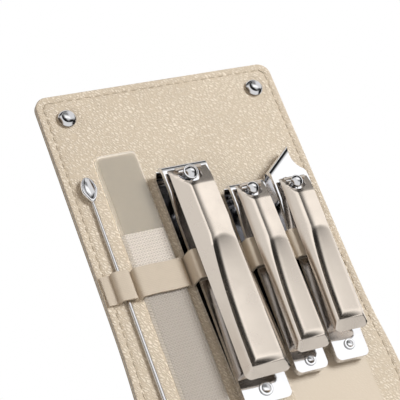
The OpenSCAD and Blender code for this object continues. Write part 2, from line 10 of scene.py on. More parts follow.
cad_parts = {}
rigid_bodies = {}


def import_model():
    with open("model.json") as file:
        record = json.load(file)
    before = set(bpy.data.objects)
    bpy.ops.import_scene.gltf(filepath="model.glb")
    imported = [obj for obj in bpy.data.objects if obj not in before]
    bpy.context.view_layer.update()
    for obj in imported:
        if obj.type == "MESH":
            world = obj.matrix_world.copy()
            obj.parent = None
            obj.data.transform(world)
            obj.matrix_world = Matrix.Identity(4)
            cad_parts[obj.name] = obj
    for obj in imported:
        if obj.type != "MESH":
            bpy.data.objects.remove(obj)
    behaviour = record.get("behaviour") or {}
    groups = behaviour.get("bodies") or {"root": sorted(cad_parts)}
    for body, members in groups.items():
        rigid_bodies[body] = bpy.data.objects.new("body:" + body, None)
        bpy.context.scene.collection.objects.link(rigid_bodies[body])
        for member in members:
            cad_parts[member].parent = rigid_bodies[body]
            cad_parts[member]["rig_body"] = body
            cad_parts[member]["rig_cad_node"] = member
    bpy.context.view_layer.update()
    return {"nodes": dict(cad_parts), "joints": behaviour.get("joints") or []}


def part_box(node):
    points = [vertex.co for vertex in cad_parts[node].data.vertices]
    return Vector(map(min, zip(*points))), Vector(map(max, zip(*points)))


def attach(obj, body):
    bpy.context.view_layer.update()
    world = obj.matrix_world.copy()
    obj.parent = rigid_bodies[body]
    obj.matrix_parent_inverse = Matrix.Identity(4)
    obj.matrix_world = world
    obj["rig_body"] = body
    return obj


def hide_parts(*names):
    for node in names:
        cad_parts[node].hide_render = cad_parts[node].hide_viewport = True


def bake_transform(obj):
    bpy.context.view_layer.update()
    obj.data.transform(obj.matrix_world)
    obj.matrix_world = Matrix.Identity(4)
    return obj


bl_info = {
    "name": "Manicure Set Case",
    "version": (1, 0, 0),
    "blender": (4, 5, 0),
    "location": "View3D > Sidebar > Manicure Set",
    "description": "Dresses the solids of a fold-over manicure set",
    "category": "Object",
}

MM = 0.001
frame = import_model()
NODES = frame["nodes"]
JOINTS = {joint["name"]: joint for joint in frame["joints"]}
CLIPPERS = ("large", "medium", "slant")
PANEL_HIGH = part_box("outer_leather_base")[1]
LINING_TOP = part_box("lining_base")[1].z
CASE_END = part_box("outer_leather_flap")[0].y
FOLDS = ("spine_fold", "cover_fold", "shoulder_fold", "flap_fold")
STRAP_LOW, STRAP_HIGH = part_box("elastic_strap")


def linear(red, green, blue):
    """A colour given as it looks on a screen, 0 to 255, in Blender's linear values."""
    return tuple(((c / 255 + 0.055) / 1.055) ** 2.4 if c > 10 else c / 255 / 12.92 for c in (red, green, blue))


def length(name, text, default, high=0.05):
    return bpy.props.FloatProperty(name=name, description=text, default=default, min=0, max=high,
                                   unit="LENGTH", precision=5)


def tint(name, text, default):
    return bpy.props.FloatVectorProperty(name=name, description=text, default=default, size=3, min=0, max=1,
                                         subtype="COLOR")


class LeatherSettings(bpy.types.PropertyGroup):
    """Sizes and colours of the case's leather and its stitching."""
    corner: length("Corner radius", "Radius of the case's free corners", 4 * MM)
    edge: length("Edge radius", "Roundness of the cut edges", 0.5 * MM)
    seam: length("Seam distance", "Distance of the stitching from the edge", 2.3 * MM)
    groove: length("Seam depth", "How far the stitching pulls the leather in", 0.28 * MM)
    pitch: length("Stitch pitch", "Length of one stitch and its gap", 3.1 * MM)
    thread: length("Thread", "Diameter of the thread", 0.42 * MM)
    grain: length("Grain size", "Size of one pebble of the grain", 0.85 * MM)
    colour: tint("Leather", "Colour of the leather", linear(229, 217, 199))
    thread_colour: tint("Thread colour", "Colour of the stitching", linear(206, 192, 171))


class StrapSettings(bpy.types.PropertyGroup):
    """Sizes and colour of the elastic strap."""
    thickness: length("Thickness", "Thickness of the strap", 0.85 * MM)
    turn: length("Turn radius", "Radius of the strap's bends", 0.95 * MM)
    colour: tint("Strap", "Colour of the strap", linear(205, 192, 174))


class ToolSettings(bpy.types.PropertyGroup):
    """Finishes of the metal and glass tools."""
    lever: tint("Lever", "Colour of the satin plating", linear(228, 217, 205))
    chrome: tint("Chrome", "Colour of the polished plating", linear(232, 232, 234))
    glass: tint("Glass", "Colour of the file's glass", linear(234, 225, 214))
    bevel: length("Edge break", "Width of the broken edges of the metal", 0.12 * MM)


class StageSettings(bpy.types.PropertyGroup):
    """Floor, light and camera."""
    floor: tint("Floor", "Colour of the floor", (1.0, 1.0, 1.0))
    lens: bpy.props.FloatProperty(name="Lens", description="Focal length in millimetres", default=127.0, min=10)


def activate(piece):
    bpy.ops.object.select_all(action="DESELECT")
    piece.select_set(True)
    bpy.context.view_layer.objects.active = piece


@contextmanager
def editing(piece, kind="VERT", pick="SELECT"):
    """Edit mode on one piece, with all its vertices, edges or faces picked first."""
    activate(piece)
    bpy.ops.object.mode_set(mode="EDIT")
    bpy.ops.mesh.select_mode(type=kind)
    if pick:
        bpy.ops.mesh.select_all(action=pick)
    yield
    bpy.ops.mesh.select_mode(type="VERT")
    bpy.ops.object.mode_set(mode="OBJECT")


def apply_modifiers(piece):
    activate(piece)
    for modifier in list(piece.modifiers):
        bpy.ops.object.modifier_apply(modifier=modifier.name)


def smooth(piece, degrees):
    activate(piece)
    bpy.ops.object.shade_smooth_by_angle(angle=math.radians(degrees))


def sheet_grid(name, columns, rows, place):
    """A grid primitive whose vertex in column i and row j goes to place(i, j)."""
    bpy.ops.object.select_all(action="DESELECT")
    bpy.ops.mesh.primitive_grid_add(x_subdivisions=columns, y_subdivisions=rows, size=2)
    piece = bpy.context.object
    piece.name = piece.data.name = name
    for vertex in piece.data.vertices:
        i = round((vertex.co.x + 1) / 2 * columns)
        j = round((vertex.co.y + 1) / 2 * rows)
        vertex.co = place(i, j)
    return piece


def thicken(piece, thickness, offset=-1.0):
    modifier = piece.modifiers.new("wall", "SOLIDIFY")
    modifier.thickness = thickness
    modifier.offset = offset
    modifier.use_even_offset = True
    return modifier


def bevel(piece, width, degrees):
    made = piece.modifiers.new("edges", "BEVEL")
    made.width, made.segments = width, 3
    made.limit_method, made.angle_limit = "ANGLE", math.radians(degrees)


def ease(t):
    t = min(max(t, 0.0), 1.0)
    return t * t * (3 - 2 * t)


def steps(low, high, count):
    return [low + (high - low) * k / count for k in range(count)]


def join(pieces, name):
    bpy.ops.object.select_all(action="DESELECT")
    for piece in pieces:
        piece.select_set(True)
    bpy.context.view_layer.objects.active = pieces[0]
    bpy.ops.object.join()
    joined = bpy.context.object
    joined.name = joined.data.name = name
    return joined


def dress(piece, material):
    piece.data.materials.clear()
    piece.data.materials.append(material)


def add(tree, kind, inputs=None, **settings):
    made = tree.nodes.new(kind)
    for key, value in settings.items():
        setattr(made, key, value)
    for key, value in (inputs or {}).items():
        if isinstance(value, bpy.types.NodeSocket):
            tree.links.new(value, made.inputs[key])
        else:
            made.inputs[key].default_value = value
    return made


def math_node(tree, operation, first, second=0.0, clamp=False):
    return add(tree, "ShaderNodeMath", {0: first, 1: second}, operation=operation, use_clamp=clamp).outputs[0]


def vector_node(tree, operation, first, second=(0, 0, 0)):
    return add(tree, "ShaderNodeVectorMath", {0: first, 1: second}, operation=operation).outputs[0]


def times(tree, first, second):
    return math_node(tree, "MULTIPLY", first, second)


def plus(tree, first, second):
    return math_node(tree, "ADD", first, second)


def minus(tree, first, second):
    return math_node(tree, "SUBTRACT", first, second)


def dimmed(colour, share):
    """A colour for a socket, times one share or a share for each channel."""
    shares = share if isinstance(share, tuple) else (share,) * 3
    return (*[c * f for c, f in zip(colour, shares)], 1)


def ramp_between(tree, value, low, high, to_low=0.0, to_high=1.0):
    return add(tree, "ShaderNodeMapRange", {"Value": value, "From Min": low, "From Max": high, "To Min": to_low,
                                            "To Max": to_high}, interpolation_type="SMOOTHSTEP").outputs[0]


def blend_colour(tree, factor, first, second):
    return add(tree, "ShaderNodeMix", {0: factor, 6: first, 7: second}, data_type="RGBA").outputs[2]


def effect(name, inputs, outputs):
    """An empty node group with float inputs, a vector input named Place, and its outputs."""
    tree = bpy.data.node_groups.new(name, "ShaderNodeTree")
    tree.interface.new_socket("Place", in_out="INPUT", socket_type="NodeSocketVector")
    for label, default in inputs:
        socket = tree.interface.new_socket(label, in_out="INPUT", socket_type="NodeSocketFloat")
        socket.default_value = default
    for label in outputs:
        tree.interface.new_socket(label, in_out="OUTPUT", socket_type="NodeSocketFloat")
    return tree, tree.nodes.new("NodeGroupInput"), tree.nodes.new("NodeGroupOutput")


def place_effect(tree, name, **inputs):
    made = tree.nodes.new("ShaderNodeGroup")
    made.node_tree = bpy.data.node_groups[name]
    for label, value in inputs.items():
        label = label.replace("_", " ")
        if isinstance(value, bpy.types.NodeSocket):
            tree.links.new(value, made.inputs[label])
        else:
            made.inputs[label].default_value = value
    return made


def make_grain():
    """Pebble grain: rounded cells with creases between them, all warped by noise."""
    tree, ins, outs = effect("pebble_grain", [("Size", 1.1 * MM)], ["Height", "Crease"])
    per_metre = math_node(tree, "DIVIDE", 1.0, ins.outputs["Size"])
    warp = add(tree, "ShaderNodeTexNoise", {"Vector": ins.outputs["Place"], "Scale": per_metre, "Detail": 2.0})
    centred = vector_node(tree, "SUBTRACT", warp.outputs["Color"], (0.5, 0.5, 0.5))
    amount = times(tree, ins.outputs["Size"], 0.9)
    shift = add(tree, "ShaderNodeVectorMath", {0: centred, "Scale": amount}, operation="SCALE").outputs[0]
    warped = vector_node(tree, "ADD", ins.outputs["Place"], shift)
    turned = add(tree, "ShaderNodeMapping", {"Vector": warped, "Rotation": (0.0, 0.0, -0.85),
                                             "Scale": (2.0, 0.85, 1.0)}, vector_type="TEXTURE").outputs[0]
    edge = add(tree, "ShaderNodeTexVoronoi", {"Vector": turned, "Scale": per_metre}, feature="DISTANCE_TO_EDGE")
    cells = ramp_between(tree, edge.outputs["Distance"], 0.0, 0.36)
    fine_scale = times(tree, per_metre, 1.6)
    fine = add(tree, "ShaderNodeTexNoise", {"Vector": turned, "Scale": fine_scale, "Detail": 3.0})
    height = plus(tree, times(tree, cells, 0.7),
                       times(tree, fine.outputs["Fac"], 0.3))
    tree.links.new(height, outs.inputs["Height"])
    tree.links.new(minus(tree, 1.0, cells), outs.inputs["Crease"])


def make_weave():
    """Fine ribs across a band with a cross thread, for the strap and the file's ground face."""
    tree, ins, outs = effect("cross_weave", [("Pitch", 0.5 * MM), ("Cross", 0.5)], ["Height"])
    split = add(tree, "ShaderNodeSeparateXYZ", {0: ins.outputs["Place"]})
    turns = math_node(tree, "DIVIDE", 2 * math.pi, ins.outputs["Pitch"])
    along = math_node(tree, "SINE", times(tree, split.outputs["X"], turns))
    across = math_node(tree, "SINE", times(tree, split.outputs["Y"], turns))
    crossed = times(tree, times(tree, along, across), ins.outputs["Cross"])
    height = plus(tree, crossed, times(tree, across, 0.5))
    tree.links.new(math_node(tree, "MULTIPLY_ADD", height, 0.5), outs.inputs["Height"])


def make_wear():
    """Uneven polish: soft clouds and hair lines drawn out along the tool."""
    tree, ins, outs = effect("uneven_polish", [("Cloud", 6 * MM), ("Stretch", 12.0)], ["Cloud", "Lines"])
    per_metre = math_node(tree, "DIVIDE", 1.0, ins.outputs["Cloud"])
    cloud = add(tree, "ShaderNodeTexNoise", {"Vector": ins.outputs["Place"], "Scale": per_metre, "Detail": 3.0})
    squeeze = add(tree, "ShaderNodeCombineXYZ", {0: ins.outputs["Stretch"], 1: 1.0, 2: ins.outputs["Stretch"]})
    drawn = vector_node(tree, "MULTIPLY", ins.outputs["Place"], squeeze.outputs[0])
    lines = add(tree, "ShaderNodeTexNoise", {"Vector": drawn, "Scale": 900.0, "Detail": 2.0})
    tree.links.new(cloud.outputs["Fac"], outs.inputs["Cloud"])
    tree.links.new(lines.outputs["Fac"], outs.inputs["Lines"])


def material(name):
    made = bpy.data.materials.new(name)
    made.use_nodes = True
    tree = made.node_tree
    tree.nodes.clear()
    shader = tree.nodes.new("ShaderNodeBsdfPrincipled")
    output = tree.nodes.new("ShaderNodeOutputMaterial")
    tree.links.new(shader.outputs[0], output.inputs[0])
    place = tree.nodes.new("ShaderNodeTexCoord").outputs["Object"]
    return made, tree, shader, place


def set_values(shader, **values):
    for label, value in values.items():
        shader.inputs[label.replace("_", " ")].default_value = value


def bump(tree, shader, height, depth, strength=1.0):
    made = add(tree, "ShaderNodeBump", {"Height": height, "Distance": depth, "Strength": strength})
    tree.links.new(made.outputs[0], shader.inputs["Normal"])


def box_mask(tree, place, x_low, x_high, y_low, y_high, soft):
    """1 inside a box in plan, falling to 0 over a soft edge."""
    split = add(tree, "ShaderNodeSeparateXYZ", {0: place})
    sides = [ramp_between(tree, split.outputs["X"], x_low - soft, x_low + soft),
             ramp_between(tree, split.outputs["X"], x_high - soft, x_high + soft, 1.0, 0.0),
             ramp_between(tree, split.outputs["Y"], y_low - soft, y_low + soft),
             ramp_between(tree, split.outputs["Y"], y_high - soft, y_high + soft, 1.0, 0.0)]
    mask = sides[0]
    for side in sides[1:]:
        mask = times(tree, mask, side)
    return mask


SMOOTH_PATCH = (5 * MM, 32 * MM, 8 * MM, 24.5 * MM, 0.5 * MM)
SMOOTH_COLOUR = (*linear(207, 194, 176), 1)
# Share of the plating's colour kept where shade is painted under a thumb rest's arch.
PAINTED_SHADE_SHARE = 0.36


def leather_material(name, settings, smooth_patch):
    made, tree, shader, place = material(name)
    grain = place_effect(tree, "pebble_grain", Place=place, Size=settings.grain)
    large = add(tree, "ShaderNodeTexNoise", {"Vector": place, "Scale": 45.0, "Detail": 2.0}).outputs["Fac"]
    base = (*settings.colour, 1)
    dark = dimmed(settings.colour, (0.72, 0.68, 0.62))
    light = (*[min(1, c * 1.07) for c in settings.colour], 1)
    tone = blend_colour(tree, ramp_between(tree, large, 0.35, 0.65), base, light)
    crease = times(tree, grain.outputs["Crease"], 0.85)
    height = grain.outputs["Height"]
    if smooth_patch:
        mask = box_mask(tree, place, *SMOOTH_PATCH)
        kept = minus(tree, 1.0, times(tree, mask, 0.92))
        crease = times(tree, crease, kept)
        height = times(tree, height, kept)
        tone = blend_colour(tree, times(tree, mask, 0.8), tone, SMOOTH_COLOUR)
    tree.links.new(blend_colour(tree, crease, tone, dark), shader.inputs["Base Color"])
    tree.links.new(ramp_between(tree, grain.outputs["Crease"], 0.0, 1.0, 0.5, 0.72), shader.inputs["Roughness"])
    set_values(shader, Specular_IOR_Level=0.42)
    bump(tree, shader, height, 0.22 * MM, 1.0)
    return made


def edge_material(settings):
    """The painted cut edge round the case."""
    made, tree, shader, place = material("edge_paint")
    streak = place_effect(tree, "uneven_polish", Place=place, Cloud=2 * MM, Stretch=1.0).outputs["Cloud"]
    base = dimmed(settings.colour, 0.5)
    dark = dimmed(settings.colour, 0.4)
    tree.links.new(blend_colour(tree, streak, base, dark), shader.inputs["Base Color"])
    set_values(shader, Roughness=0.5)
    bump(tree, shader, streak, 0.05 * MM)
    return made


def thread_material(settings):
    made, tree, shader, place = material("thread")
    twist = add(tree, "ShaderNodeTexWave", {"Vector": place, "Scale": 900.0, "Distortion": 1.0},
                bands_direction="DIAGONAL")
    base = (*settings.thread_colour, 1)
    dark = dimmed(settings.thread_colour, 0.7)
    tree.links.new(blend_colour(tree, twist.outputs["Fac"], dark, base), shader.inputs["Base Color"])
    set_values(shader, Roughness=0.75)
    bump(tree, shader, twist.outputs["Fac"], 0.05 * MM)
    return made


def strap_material(settings):
    made, tree, shader, place = material("strap")
    weave = place_effect(tree, "cross_weave", Place=place, Pitch=0.55 * MM, Cross=0.7)
    cloud = add(tree, "ShaderNodeTexNoise", {"Vector": place, "Scale": 400.0, "Detail": 4.0}).outputs["Fac"]
    base = (*settings.colour, 1)
    dark = dimmed(settings.colour, 0.8)
    wear_and_painted_shade = math_node(tree, "MULTIPLY", weave.outputs["Height"], cloud, clamp=True)
    tree.links.new(blend_colour(tree, wear_and_painted_shade, base, dark), shader.inputs["Base Color"])
    set_values(shader, Roughness=0.66, Specular_IOR_Level=0.3)
    rough = plus(tree, weave.outputs["Height"], times(tree, cloud, 0.8))
    bump(tree, shader, rough, 0.06 * MM, 0.7)
    return made


def metal_material(name, colour, roughness, spread, lines, wear_and_painted_shade=None):
    """Plated metal; the last argument names an attribute that is 1 where shade is painted into the plating's
    colour.
    """
    made, tree, shader, place = material(name)
    polish = place_effect(tree, "uneven_polish", Place=place)
    cloud = ramp_between(tree, polish.outputs["Cloud"], 0.3, 0.7, roughness - spread, roughness + spread)
    tree.links.new(cloud, shader.inputs["Roughness"])
    base = (*colour, 1)
    dark = dimmed(colour, 0.93)
    tone = blend_colour(tree, polish.outputs["Lines"], base, dark)
    if wear_and_painted_shade:
        # Painted shade: the attribute darkens the plating's colour.
        painted_shade_dark = add(tree, "ShaderNodeAttribute", attribute_name=wear_and_painted_shade).outputs["Fac"]
        tone = blend_colour(tree, painted_shade_dark, tone, dimmed(colour, PAINTED_SHADE_SHARE))
    tree.links.new(tone, shader.inputs["Base Color"])
    set_values(shader, Metallic=1.0)
    bump(tree, shader, polish.outputs["Lines"], lines)
    return made


def rim_mask(tree, place, low, high, radius, width):
    """1 along the inside of a rounded rectangle's outline, falling to 0 past a width."""
    centre, half = (low + high) / 2, (high - low) / 2
    folded = vector_node(tree, "ABSOLUTE", vector_node(tree, "SUBTRACT", place, centre))
    inner = vector_node(tree, "SUBTRACT", folded, (half.x - radius, half.y - radius, 1))
    kept = vector_node(tree, "MAXIMUM", inner)
    reach = add(tree, "ShaderNodeVectorMath", {0: kept}, operation="LENGTH").outputs["Value"]
    return ramp_between(tree, reach, radius - width, radius - width * 0.8)


FROST_END = 76 * MM
FILE_CORNER, FILE_RIM = 2.2 * MM, 0.9 * MM
# Painted highlight along the file's bevelled rim.
RIM_HIGHLIGHT_COLOUR = (*linear(240, 233, 222), 1)
GROUND_COLOUR = (*linear(190, 182, 172), 1)
DOT_COLOUR = (*linear(160, 150, 140), 1)
GLASS_IOR = 1.48


def glass_rim_highlight(tree, place, colour):
    """A painted highlight: a bright rim round the file over its colour."""
    low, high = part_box("nail_file")
    rim = rim_mask(tree, place, low, high, FILE_CORNER, FILE_RIM)
    return blend_colour(tree, times(tree, rim, 0.8), colour, RIM_HIGHLIGHT_COLOUR)


def frosted_material(settings):
    """The frosted glass: a milky band, and a finely cross-ground face below it."""
    made, tree, shader, place = material("frosted_glass")
    weave = place_effect(tree, "cross_weave", Place=place, Pitch=0.95 * MM, Cross=1.0)
    y = add(tree, "ShaderNodeSeparateXYZ", {0: place}).outputs["Y"]
    ground = ramp_between(tree, y, STRAP_LOW.y + 0.2 * MM, STRAP_LOW.y + 0.6 * MM, 1.0, 0.0)
    colour = blend_colour(tree, ground, (*settings.glass, 1), GROUND_COLOUR)
    dots = times(tree, weave.outputs["Height"], 0.5)
    colour = blend_colour(tree, dots, colour, DOT_COLOUR)
    tree.links.new(glass_rim_highlight(tree, place, colour), shader.inputs["Base Color"])
    rough = ramp_between(tree, weave.outputs["Height"], 0.0, 1.0, 0.5, 0.36)
    tree.links.new(rough, shader.inputs["Roughness"])
    set_values(shader, IOR=GLASS_IOR, Transmission_Weight=0.12)
    bump(tree, shader, weave.outputs["Height"], 0.14 * MM)
    return made


def clear_material(settings):
    """The file's smooth end, through which the leather shows."""
    made, tree, shader, place = material("clear_glass")
    cloud = place_effect(tree, "uneven_polish", Place=place, Cloud=3 * MM).outputs["Cloud"]
    dark = dimmed(settings.glass, (0.52, 0.52, 0.49))
    light = dimmed(settings.glass, (0.57, 0.57, 0.54))
    colour = blend_colour(tree, cloud, dark, light)
    tree.links.new(glass_rim_highlight(tree, place, colour), shader.inputs["Base Color"])
    tree.links.new(ramp_between(tree, cloud, 0.3, 0.7, 0.03, 0.07), shader.inputs["Roughness"])
    set_values(shader, IOR=GLASS_IOR, Transmission_Weight=0.55)
    bump(tree, shader, cloud, 0.02 * MM)
    return made


def fold_lines():
    return [JOINTS[name]["pos_m"][1] for name in FOLDS]


def span_borders():
    folds = fold_lines()
    middles = [(first + second) / 2 for first, second in zip(folds, folds[1:])]
    return [PANEL_HIGH.y, *middles, CASE_END]


FLARE_AT, FLARE_RUN, FLARE_START, FLARE_WIDE = 16 * MM, 17 * MM, 28 * MM, 13 * MM
FLARE_RIGHT, FLARE_LEFT = 1.9, 1.1
GROOVE_WIDTH = 0.42 * MM
SAG, SAG_START, SAG_RUN = 0.16 * MM, 2.6 * MM, 3 * MM
WAVE = 0.1 * MM
LEATHER_SPLIT = 0.48
LIP = 0.28 * MM
RIVET_SEAT, STUD_SEAT, STUD_SEAT_R = 0.62 * MM, 0.25 * MM, 4.4 * MM
SOCKET_SEATS = (0.7 * MM, 0.72 * MM, 0.78 * MM)
EDGE_STEPS = (0, 0.06, 0.18, 0.34, 0.55, 0.95, 1.4, 1.75, 2.05, 2.3, 2.55, 2.85, 3.2, 3.8, 4.6, 5.6, 6.8)
SNAP_STEP = 0.55
FOLD_STEP = 0.7
PLAIN_STEP = 2.6


def spaced(low, high, dense):
    """Values from low to high: those in dense, and plain steps where there are none."""
    inside = sorted({round(v, 6) for v in dense if low < v < high} | {low, high})
    values = [inside[0]]
    for value in inside[1:]:
        gap = value - values[-1]
        if gap < 0.02 * MM:
            continue
        count = max(1, round(gap / (PLAIN_STEP * MM)))
        values += [values[-1] + gap * k / count for k in range(1, count)] + [value]
    if values[-1] != high:
        values[-1] = high
    return values


def snap_places(node):
    """Middle of each of a node's two snaps, and the node's radius."""
    low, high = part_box(node)
    radius = (high.y - low.y) / 2
    return [((high.x - radius) * side, (high.y + low.y) / 2) for side in (-1, 1)], radius


def around(places, axis, radius):
    reach = radius + 1.2 * MM
    count = round(2 * reach / (SNAP_STEP * MM))
    return [place[axis] - reach + 2 * reach * k / count for place in places for k in range(count + 1)]


def outline_distance(x, y, settings):
    """Distance inwards from the case's outline, whose free ends have round corners."""
    half = PANEL_HIGH.x
    side = half - abs(x)
    end = min(PANEL_HIGH.y - y, y - CASE_END)
    r = settings.corner
    if side < r and end < r:
        return r - math.hypot(r - side, r - end)
    return min(side, end)


def side_flare(x, y):
    """The long edges of the soft panel curl outwards a little near the fold."""
    share = math.exp(-((y - FLARE_AT) / FLARE_RUN) ** 2)
    most = FLARE_RIGHT if x > 0 else FLARE_LEFT
    return math.copysign(ease((abs(x) - FLARE_START) / FLARE_WIDE) * share * most * MM, x)


class Leather:
    """Heights of the two leathers and the grid that both are cut on."""

    def __init__(self, settings):
        self.settings = settings
        self.studs, self.rivet_r = snap_places("stud_rivets")
        self.sockets, self.socket_r = snap_places("snap_sockets")
        self.caps, self.cap_r = snap_places("snap_caps")
        half = PANEL_HIGH.x
        dense = [s * (half - e * MM) for s in (-1, 1) for e in EDGE_STEPS]
        dense += around(self.studs, 0, self.rivet_r)
        self.columns = spaced(-half, half, dense)
        dense = [PANEL_HIGH.y - e * MM for e in EDGE_STEPS] + [CASE_END + e * MM for e in EDGE_STEPS]
        dense += around(self.studs[:1], 1, self.rivet_r) + around(self.caps[:1], 1, self.cap_r)
        for fold in fold_lines():
            dense += [fold + k * FOLD_STEP * MM for k in range(-8, 9)]
        self.rows = dense

    def undulation(self, x, y):
        return 0.5 + 0.5 * noise.noise(Vector((x * 55, y * 40, 3.7)))

    def plan(self, x, y):
        """A grid point in plan, squeezed in where the ends have round corners."""
        r = self.settings.corner
        end = min(PANEL_HIGH.y - y, y - CASE_END)
        half = PANEL_HIGH.x
        if end < r:
            narrow = half - r + math.sqrt(max(r * r - (r - end) ** 2, 0))
            x *= narrow / half
        return x, y

    def drop(self, x, y):
        """How far a face lies below flat: round edge, seam groove and soft waves."""
        s = self.settings
        d = outline_distance(x, y, s)
        edge = s.edge
        fall = edge - math.sqrt(max(edge * edge - (edge - d) ** 2, 0)) if d < edge else 0.0
        fall += s.groove * math.exp(-((d - s.seam) / GROOVE_WIDTH) ** 2)
        fall += SAG * (1 - ease((d - SAG_START) / SAG_RUN))
        return fall + WAVE * self.undulation(x, y)

    def pocket(self, x, y, places, radius):
        """1 inside a snap's seat, 0 outside it."""
        d = min(math.hypot(x - px, y - py) for px, py in places)
        return ease((radius + 0.25 * MM - d) / (0.4 * MM))

    def heights(self, x, y):
        """Heights of the outside, the joint between the leathers and the inside."""
        split = LINING_TOP * LEATHER_SPLIT
        fall = self.drop(x, y)
        outside = fall * 0.8
        inside = LINING_TOP - fall
        lip = max(0.0, LIP - outline_distance(x, y, self.settings))
        seat = self.pocket(x, y, self.studs + self.caps, self.rivet_r)
        outside += (RIVET_SEAT - outside) * seat
        inside -= STUD_SEAT * self.pocket(x, y, self.studs, STUD_SEAT_R)
        top_of_outer, foot_of_inner = split - lip, split + lip
        hole = self.pocket(x, y, self.sockets, self.socket_r - 0.35 * MM)
        top_of_outer += (SOCKET_SEATS[0] - top_of_outer) * hole
        foot_of_inner += (SOCKET_SEATS[1] - foot_of_inner) * hole
        inside += (SOCKET_SEATS[2] - inside) * hole
        return outside, top_of_outer, foot_of_inner, inside

    def span(self, name, high, low, layer):
        """One closed piece of leather between two lines across the case."""
        rows = spaced(low, high, self.rows)
        columns = self.columns
        picks = (0, 1) if layer == "outer" else (2, 3)
        count = len(columns)

        def point(i, j, pick):
            x, y = self.plan(columns[i], rows[j])
            z = self.heights(x, y)[pick]
            return Vector((x + side_flare(x, y), y, z))

        upper = sheet_grid(name, count - 1, len(rows) - 1, lambda i, j: point(i, j, picks[1]))
        lower = sheet_grid(name + "_back", count - 1, len(rows) - 1, lambda i, j: point(i, j, picks[0]))
        lower.data.flip_normals()
        piece = join([upper, lower], name)
        with editing(piece, "EDGE"):
            bpy.ops.mesh.select_non_manifold(extend=False)
            bpy.ops.mesh.bridge_edge_loops()
        smooth(piece, 50)
        return piece


SPAN_NODES = (("base",), ("spine",), ("cover", "shoulder"), ("flap",))
SPAN_NAMES = ("panel", "spine", "cover", "flap")


def bend_span(piece):
    """Bakes a piece's placement into its mesh."""
    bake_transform(piece)


class MANICURE_OT_leather(bpy.types.Operator):
    """Make the outer leather and the lining, each in four spans, one across each fold"""
    bl_idname = "manicure.leather"
    bl_label = "Leather"

    def execute(self, context):
        settings = context.scene.manicure_leather
        outer = leather_material("outer_leather", settings, False)
        lining = leather_material("lining_leather", settings, True)
        paint = edge_material(settings)
        leather = Leather(settings)
        borders = span_borders()
        for index, name in enumerate(SPAN_NAMES):
            for layer, skin in (("outer", outer), ("lining", lining)):
                piece = leather.span(f"{name}_{layer}", borders[index], borders[index + 1], layer)
                dress(piece, skin)
                piece.data.materials.append(paint)
                for face in piece.data.polygons:
                    near = outline_distance(*face.center.xy, settings) < 0.5 * MM
                    face.material_index = int(near and abs(face.normal.z) < 0.6)
                prefix = "outer_leather_" if layer == "outer" else "lining_"
                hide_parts(*[prefix + body for body in SPAN_NODES[index]])
                bend_span(piece)
        return {"FINISHED"}


CORNER_CUT = 1.6 * MM
STITCH_SHARE, STITCH_DIP, STITCH_TURN = 0.76, 0.13 * MM, 0.05


def seam_path(settings):
    """Points and directions of the stitches, all round the case."""
    inset = settings.seam
    half = PANEL_HIGH.x - inset
    top, low = PANEL_HIGH.y - inset, CASE_END + inset
    cut = CORNER_CUT
    corners = [(-half, low + cut), (-half, top - cut), (-half + cut, top), (half - cut, top), (half, top - cut),
               (half, low + cut), (half - cut, low), (-half + cut, low), (-half, low + cut)]
    places = []
    for (x0, y0), (x1, y1) in zip(corners, corners[1:]):
        run = math.hypot(x1 - x0, y1 - y0)
        count = max(1, round(run / settings.pitch))
        for k in range(count):
            t = (k + 0.5) / count
            places.append((x0 + (x1 - x0) * t, y0 + (y1 - y0) * t, math.atan2(y1 - y0, x1 - x0), run / count))
    return places


def stitch_template(settings):
    """One stitch: a short thread that dips into the leather at both ends."""
    bpy.ops.object.select_all(action="DESELECT")
    bpy.ops.mesh.primitive_uv_sphere_add(segments=8, ring_count=7, radius=settings.thread / 2,
                                         rotation=(0, math.pi / 2, 0))
    template = bpy.context.object
    bpy.ops.object.transform_apply()
    for vertex in template.data.vertices:
        vertex.co.x *= STITCH_SHARE * settings.pitch / settings.thread
        vertex.co.z -= STITCH_DIP * (vertex.co.x / (0.38 * settings.pitch)) ** 2
    return template


class MANICURE_OT_stitching(bpy.types.Operator):
    """Sew the two leathers together near their edges"""
    bl_idname = "manicure.stitching"
    bl_label = "Stitching"

    def execute(self, context):
        settings = context.scene.manicure_leather
        skin = thread_material(settings)
        draw = random.Random(4)
        leather = Leather(settings)
        borders = span_borders()
        template = stitch_template(settings)
        for index, name in enumerate(SPAN_NAMES):
            copies = []
            for x, y, turn, run in seam_path(settings):
                if not borders[index + 1] < y <= borders[index]:
                    continue
                outside, _, _, inside = leather.heights(x, y)
                for z, up in ((inside, 1), (outside, -1)):
                    stitch = template.copy()
                    stitch.data = template.data.copy()
                    context.collection.objects.link(stitch)
                    flip = Matrix.Rotation(0 if up > 0 else math.pi, 4, "X")
                    spin = Matrix.Rotation(turn + draw.uniform(-STITCH_TURN, STITCH_TURN), 4, "Z")
                    lift = z + up * settings.thread * 0.3
                    spot = Vector((x + side_flare(x, y), y, max(lift, settings.thread / 2)))
                    stitch.data.transform(Matrix.Translation(spot) @ spin @ flip)
                    copies.append(stitch)
            piece = join(copies, f"{name}_stitches")
            dress(piece, skin)
            smooth(piece, 60)
            bend_span(piece)
        bpy.data.objects.remove(template)
        return {"FINISHED"}


def clipper_line(name, y):
    """Where a clipper's middle line crosses y."""
    x0, y0, _ = JOINTS[f"{name}_lever_lift"]["pos_m"]
    ax, ay, _ = JOINTS[f"{name}_clipper_slide"]["axis"]
    return x0 + ax / ay * (y - y0)


CLIPPER_HALF = {"large": 7.5 * MM, "medium": 5.9 * MM, "slant": 6.2 * MM}
CLIPPER_SHANK = {"large": 6.95 * MM, "medium": 5.95 * MM, "slant": 5.95 * MM}
STRAP_EASE = 0.32 * MM


